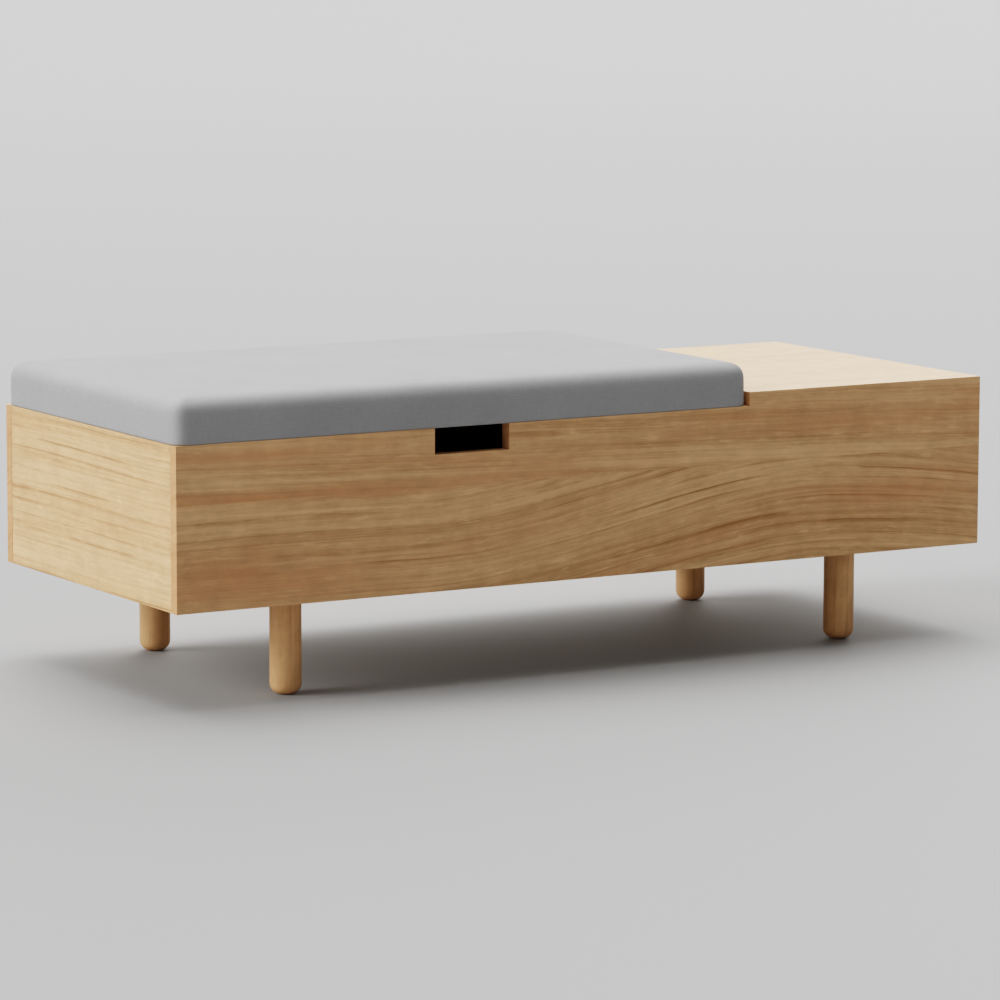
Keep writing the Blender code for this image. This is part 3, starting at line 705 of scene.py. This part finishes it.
def inflate(piece, seat):
    """Lets pressure swell the skin over its foam, held round the board, and keeps the shape."""
    group = piece.vertex_groups.new(name="held")
    for vert in piece.data.vertices:
        group.add([vert.index], seat.grip(vert.co.z), "REPLACE")
    cloth = piece.modifiers.new("cloth", "CLOTH")
    cloth.settings.use_pressure = True
    cloth.settings.uniform_pressure_force = SEAT_PRESSURE
    cloth.settings.vertex_group_mass = group.name
    cloth.settings.effector_weights.gravity = 0
    cloth.collision_settings.use_collision = False
    scene = bpy.context.scene
    for number in range(1, SEAT_FRAMES + 1):
        scene.frame_set(number)
    swollen = piece.evaluated_get(bpy.context.evaluated_depsgraph_get()).data
    moves = [after.co - before.co for before, after in zip(piece.data.vertices, swollen.vertices)]
    piece.modifiers.remove(cloth)
    scene.frame_set(1)
    for vert, move in zip(piece.data.vertices, moves):
        if move.length > 0:
            vert.co += move * (SEAT_SWELL * math.tanh(move.length / SEAT_SWELL) / move.length)
    piece.vertex_groups.remove(group)


def make_seat(paint):
    shape = Seat()
    seat = add_piece("seat_cushion", shape.skin(), "lid", paint)
    inflate(seat, shape)
    cover = seat.modifiers.new("cover", "SOLIDIFY")
    cover.thickness = SEAT_COVER
    cover.offset = -1
    fine = seat.modifiers.new("fine", "SUBSURF")
    fine.levels = 1
    fine.render_levels = 1
    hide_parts("seat_cover", "foam_core")


# Lining under the lid

def staple_places(low, high):
    """Places round the lining, with the direction of each staple, clear of the lid's stay brackets."""
    stays = [(a + b) / 2 for a, b in (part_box("stay_left_lid_bracket"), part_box("stay_right_lid_bracket"))]
    left, right = low.x + STAPLE_INSET, high.x - STAPLE_INSET
    front, back = low.y + STAPLE_INSET, high.y - STAPLE_INSET
    runs = (
        (Vector((left, front, low.z)), Vector((right, front, low.z))),
        (Vector((left, back, low.z)), Vector((right, back, low.z))),
        (Vector((left, front, low.z)), Vector((left, back, low.z))),
        (Vector((right, front, low.z)), Vector((right, back, low.z))),
    )
    places = []
    for start, end in runs:
        count = round((end - start).length / STAPLE_STEP)
        for k in range(count):
            place = start.lerp(end, (k + 0.5) / count)
            if all((place - stay).xy.length > STAPLE_TO_STAY for stay in stays):
                places.append((place, (end - start).normalized()))
    return places


def make_lining(paint):
    low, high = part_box("dust_cover")
    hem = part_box("seat_cover")[0].x + SEAT_HEM
    inside = hem - low.x
    columns = round((high.x - low.x) / LINING_CELL)
    rows = round((high.y - low.y) / LINING_CELL)
    bm = bmesh.new()
    grid = []
    for i in range(columns + 1):
        for j in range(rows + 1):
            x = low.x + (high.x - low.x) * i / columns
            y = low.y + (high.y - low.y) * j / rows
            edge = min(x - low.x, high.x - x, y - low.y, high.y - y)
            lift = LINING_LIFT * min(max((edge - inside) / LINING_CELL, 0), 1)
            along = x if min(y - low.y, high.y - y) < min(x - low.x, high.x - x) else y
            near = max(1 - edge / inside, 0)
            pucker = LINING_PUCKER * near * math.sin(math.pi * along / STAPLE_STEP) ** 2
            grid.append(bm.verts.new((x, y, high.z + lift - pucker)))
    across = rows + 1
    for i in range(columns):
        for j in range(rows):
            k = i * across + j
            bm.faces.new((grid[k], grid[k + 1], grid[k + across + 1], grid[k + across]))
    sheet = add_piece("lid_lining", bm, "lid", paint)
    thick = sheet.modifiers.new("thick", "SOLIDIFY")
    thick.thickness = LINING_THICKNESS
    thick.offset = 1
    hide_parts("dust_cover")


def make_staples(paint):
    """Crowns of bent flat wire, their ends driven through the lining."""
    low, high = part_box("dust_cover")
    bm = bmesh.new()
    up = Vector((0, 0, 1))
    for place, along in staple_places(low, high):
        side = along.cross(up) * STAPLE_WIRE / 2
        rings = []
        for share in STAPLE_CUTS:
            drop = STAPLE_HEIGHT * math.sqrt(1 - abs(share) ** STAPLE_SQUARENESS)
            centre = place + along * (share * STAPLE_WIDTH / 2)
            rings.append([
                bm.verts.new(centre + side * out + up * (STAPLE_HEIGHT + drop * (down - 0.5)))
                for out, down in STAPLE_SECTION
            ])
        for first, second in zip(rings, rings[1:]):
            for k in range(len(STAPLE_SECTION)):
                bm.faces.new((first[k - 1], first[k], second[k], second[k - 1]))
        bm.faces.new(rings[0][::-1])
        bm.faces.new(rings[-1])
    bmesh.ops.recalc_face_normals(bm, faces=bm.faces)
    add_piece("lining_staples", bm, "lid", paint)


# Screws

def turned(bm, profile):
    """Turns a profile of radii and heights about Z, from its foot on the axis to its tip on the axis."""
    rings = []
    for radius, height in profile[1:-1]:
        turns = [2 * math.pi * k / SCREW_SIDES for k in range(SCREW_SIDES)]
        rings.append([bm.verts.new((radius * math.cos(t), radius * math.sin(t), height)) for t in turns])
    for lower, upper in zip(rings, rings[1:]):
        for k in range(SCREW_SIDES):
            bm.faces.new((lower[k - 1], lower[k], upper[k], upper[k - 1]))
    for ring, tip in ((rings[0][::-1], profile[0]), (rings[-1], profile[-1])):
        end = bm.verts.new((0, 0, tip[1]))
        for k in range(SCREW_SIDES):
            bm.faces.new((ring[k - 1], ring[k], end))


def screw_mesh(radius, height):
    """A screw head with a cross recess, its seat on the XY plane and its top towards +Z."""
    bm = bmesh.new()
    profile = [(0, -HEAD_DEPTH), (radius / 2, -HEAD_DEPTH), (radius, 0)]
    for k in range(1, HEAD_RINGS):
        turn = math.pi / 2 * k / HEAD_RINGS
        profile.append((radius * math.cos(turn) ** HEAD_SQUARENESS, height * math.sin(turn)))
    turned(bm, profile + [(0, height)])
    head = mesh_object("screw_head", bm)
    bm = bmesh.new()
    for turn in (0, math.pi / 2):
        size = (radius * RECESS_LENGTH, RECESS_WIDTH, 2 * RECESS_DEPTH, 1)
        shape = Matrix.Translation((0, 0, height)) @ Matrix.Rotation(turn, 4, "Z") @ Matrix.Diagonal(size)
        bmesh.ops.create_cube(bm, size=1, matrix=shape)
    recess = mesh_object("screw_recess", bm)
    cut = head.modifiers.new("cut", "BOOLEAN")
    cut.object = recess
    cut.use_self = True
    made = bpy.data.meshes.new_from_object(head.evaluated_get(bpy.context.evaluated_depsgraph_get()))
    for scrap in (head, recess):
        bpy.data.objects.remove(scrap)
    return made


def make_screws(name, body, kind, places, paint):
    """Screws of one kind as one piece: each place has a point and the way its head faces."""
    head = screw_mesh(*kind)
    bm = bmesh.new()
    for number, (point, facing) in enumerate(places):
        turn = Matrix.Rotation(number * SCREW_TURN, 4, "Z")
        way = Vector((0, 0, 1)).rotation_difference(facing).to_matrix().to_4x4()
        shift = Matrix.Translation(point) @ way @ turn
        head.transform(shift)
        bm.from_mesh(head)
        head.transform(shift.inverted())
    bpy.data.meshes.remove(head)
    bmesh.ops.dissolve_degenerate(bm, dist=SCREW_MERGE, edges=bm.edges)
    screws = add_piece(name, bm, body, paint)
    screws.data.set_sharp_from_angle(angle=SHARP_OVER)


def plate_screws():
    down = Vector((0, 0, -1))
    for corner in CORNERS:
        low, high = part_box(f"leg_plate_{corner}")
        for x in (low.x + PLATE_SCREW_INSET, high.x - PLATE_SCREW_INSET):
            for y in (low.y + PLATE_SCREW_INSET, high.y - PLATE_SCREW_INSET):
                yield Vector((x, y, low.z)), down


def bracket_screws():
    for side, inward in (("left", 1), ("right", -1)):
        low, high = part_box(f"stay_{side}_case_bracket")
        middle = (low + high) / 2
        x = high.x if inward > 0 else low.x
        for step in (-STAY_SCREW_STEP, STAY_SCREW_STEP):
            yield Vector((x, middle.y, middle.z + step)), Vector((inward, 0, 0))


def flange_screws():
    for side, inward in (("left", 1), ("right", -1)):
        low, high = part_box(f"stay_{side}_lid_bracket")
        middle = (low + high) / 2
        x = low.x + FLANGE_SCREW_INSET if inward > 0 else high.x - FLANGE_SCREW_INSET
        for step in (-STAY_SCREW_STEP, STAY_SCREW_STEP):
            yield Vector((x, middle.y + step, high.z - STAY_PLATE)), Vector((0, 0, -1))


def hinge_screws(leaf, up):
    low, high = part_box(leaf)
    y = low.y + HINGE_SCREW_INSET
    z = (low.z + high.z) / 2 - up * HINGE_CLEAR
    start, end = low.x + HINGE_SCREW_MARGIN, high.x - HINGE_SCREW_MARGIN
    for k in range(HINGE_SCREWS):
        yield Vector((start + (end - start) * k / (HINGE_SCREWS - 1), y, z)), Vector((0, 0, up))


# Build

make_camera()
make_floor()
make_light()

front_oak = wood("front_oak", "XZY", 0.0, OAK, FRONT_JOINT, FRONT_ARCH, FRONT_BLUSHES)
back_oak = wood("back_oak", "XZY", 7.0, OAK, FRONT_JOINT)
end_oak = wood("end_oak", "YZX", 2.0, END_OAK)
# The table top and its cleats: oak whose pale, faint grain is partly painted sheen
top_oak_and_sheen = wood("top_oak_and_sheen", "XYZ", 4.0, TABLE_OAK_AND_SHEEN)
leg_oak = wood("leg_oak", "ZXY", 5.0, LEG_OAK)
birch = wood("birch", "XYZ", 6.0, BIRCH)
grey = fabric()
black = lining()
steel = zinc()
soft_grey = rubber()

panels = ("front_panel", "back_panel", "left_end_panel", "right_end_panel", "partition", "table_top")
cleats = ("table_cleat_front", "table_cleat_back")
boards = ("bottom_panel", "lid_board")
legs = [f"leg_{corner}" for corner in CORNERS]
bumpers = [name for name in nodes if name.startswith("lid_bumper")]
metal = [name for name in nodes if name.startswith(("leg_plate", "leg_stud", "hinge", "stay"))]
dress(front_oak, "front_panel")
dress(back_oak, "back_panel")
dress(end_oak, "left_end_panel", "right_end_panel", "partition")
dress(top_oak_and_sheen, "table_top", *cleats)
dress(birch, *boards)
dress(leg_oak, *legs)
dress(soft_grey, *bumpers)
dress(steel, *metal)

smooth = smooth_group()
ease_edges(smooth, PANEL_ARRIS, (*panels, *cleats, *boards))
ease_edges(smooth, 0, (*legs, *bumpers, *metal))

make_seat(grey)
make_lining(black)
make_staples(steel)
make_screws("leg_plate_screws", "case", PAN_HEAD, plate_screws(), steel)
make_screws("stay_case_screws", "case", FLAT_HEAD, bracket_screws(), steel)
make_screws("stay_lid_screws", "lid", PAN_HEAD, flange_screws(), steel)
make_screws("hinge_case_screws", "case", HINGE_HEAD, hinge_screws("hinge_leaf_case", 1), steel)
make_screws("hinge_lid_screws", "lid", HINGE_HEAD, hinge_screws("hinge_leaf_lid", -1), steel)
